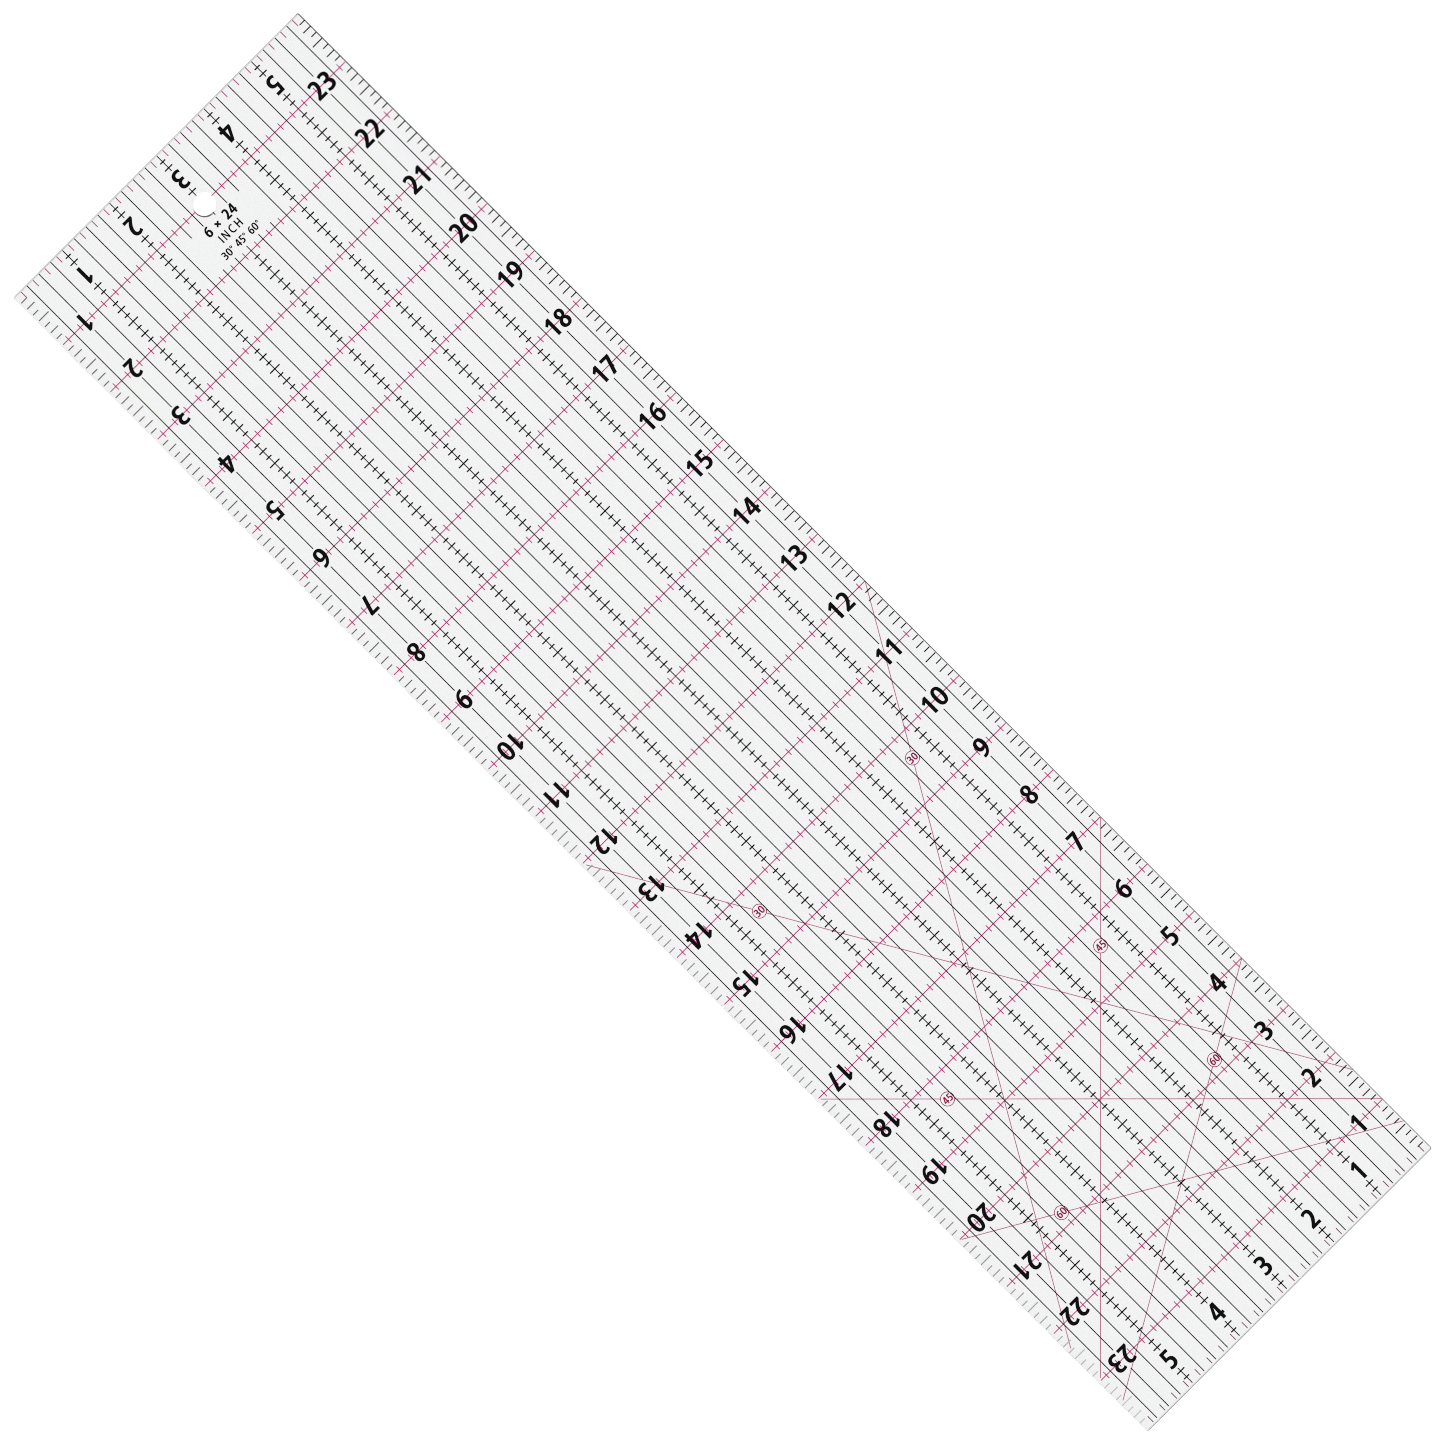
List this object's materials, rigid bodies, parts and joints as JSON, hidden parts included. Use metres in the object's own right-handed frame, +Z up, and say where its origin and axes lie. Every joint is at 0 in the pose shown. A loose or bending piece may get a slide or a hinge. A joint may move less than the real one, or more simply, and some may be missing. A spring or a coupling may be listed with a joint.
{
  "type": "quilting ruler",
  "caption": "Clear acrylic quilting ruler with a printed inch grid in black and magenta, scale numerals on all four edges, angle lines and a round hanging hole.",
  "frame": {"origin": "centre of the sheet's underside, the face it rests on", "axes": "+Z up out of the printed face; +Y along the 24 inch scale from the zero end towards the hanging hole; +X across the sheet towards the right-hand edge, whose scale reads 1 to 23 from the zero end"},
  "size_m": [0.1536, 0.6116, 0.003],
  "materials": {
    "clear_acrylic": "polished",
    "black_ink": "satin",
    "magenta_ink": "satin"
  },
  "bodies": {
    "root": {"acrylic_sheet": "clear_acrylic", "quarter_inch_lines": "black_ink", "inch_line_ticks": "black_ink", "right_edge_ticks": "black_ink", "left_edge_ticks": "black_ink", "right_scale_numerals": "black_ink", "left_scale_numerals": "black_ink", "zero_end_numerals": "black_ink", "hole_end_numerals": "black_ink", "size_mark": "black_ink", "magenta_inch_lines": "magenta_ink", "magenta_inch_line_ticks": "magenta_ink", "magenta_zero_end_ticks": "magenta_ink", "magenta_hole_end_ticks": "magenta_ink", "magenta_45_degree_lines": "magenta_ink", "magenta_30_degree_lines": "magenta_ink", "magenta_60_degree_lines": "magenta_ink", "angle_label_rings": "magenta_ink", "angle_label_numerals": "magenta_ink"}
  },
  "joints": []
}
